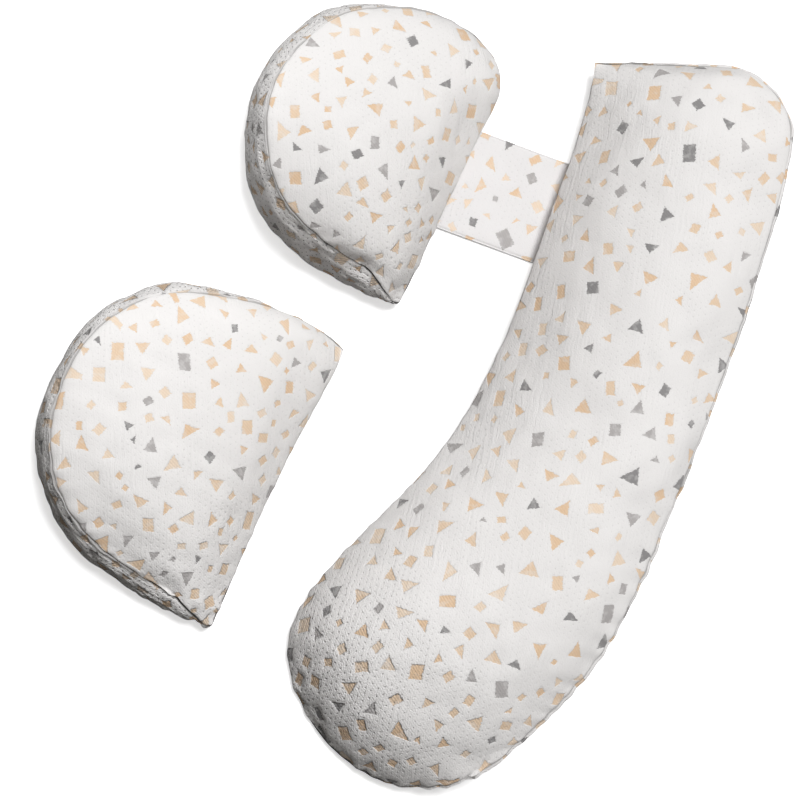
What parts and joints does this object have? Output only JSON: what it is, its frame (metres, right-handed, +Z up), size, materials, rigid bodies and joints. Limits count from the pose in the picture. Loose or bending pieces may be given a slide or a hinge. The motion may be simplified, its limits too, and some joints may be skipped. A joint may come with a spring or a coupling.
{
  "type": "pregnancy pillow",
  "caption": "Pregnancy pillow set: a long curved back cushion with a half-round belly wedge joined by a flat padded band, and a loose half-round wedge, in a confetti-printed knit.",
  "frame": {"origin": "bottom centre of the whole set as it lies on its back on a flat surface", "axes": "+Z up off the surface; +Y from the long cushion's broad round end towards its straight end; +X from the loose wedge towards the long cushion"},
  "size_m": [0.761, 0.7837, 0.1201],
  "materials": {
    "printed_knit": "matt off-white air-layer knit with a tan and grey confetti print",
    "band_knit": "the same knit, as a flat padded strip"
  },
  "bodies": {
    "root": {"long_cushion": "printed_knit", "joined_wedge": "printed_knit", "loose_wedge": "printed_knit", "joining_band": "band_knit"}
  },
  "joints": []
}
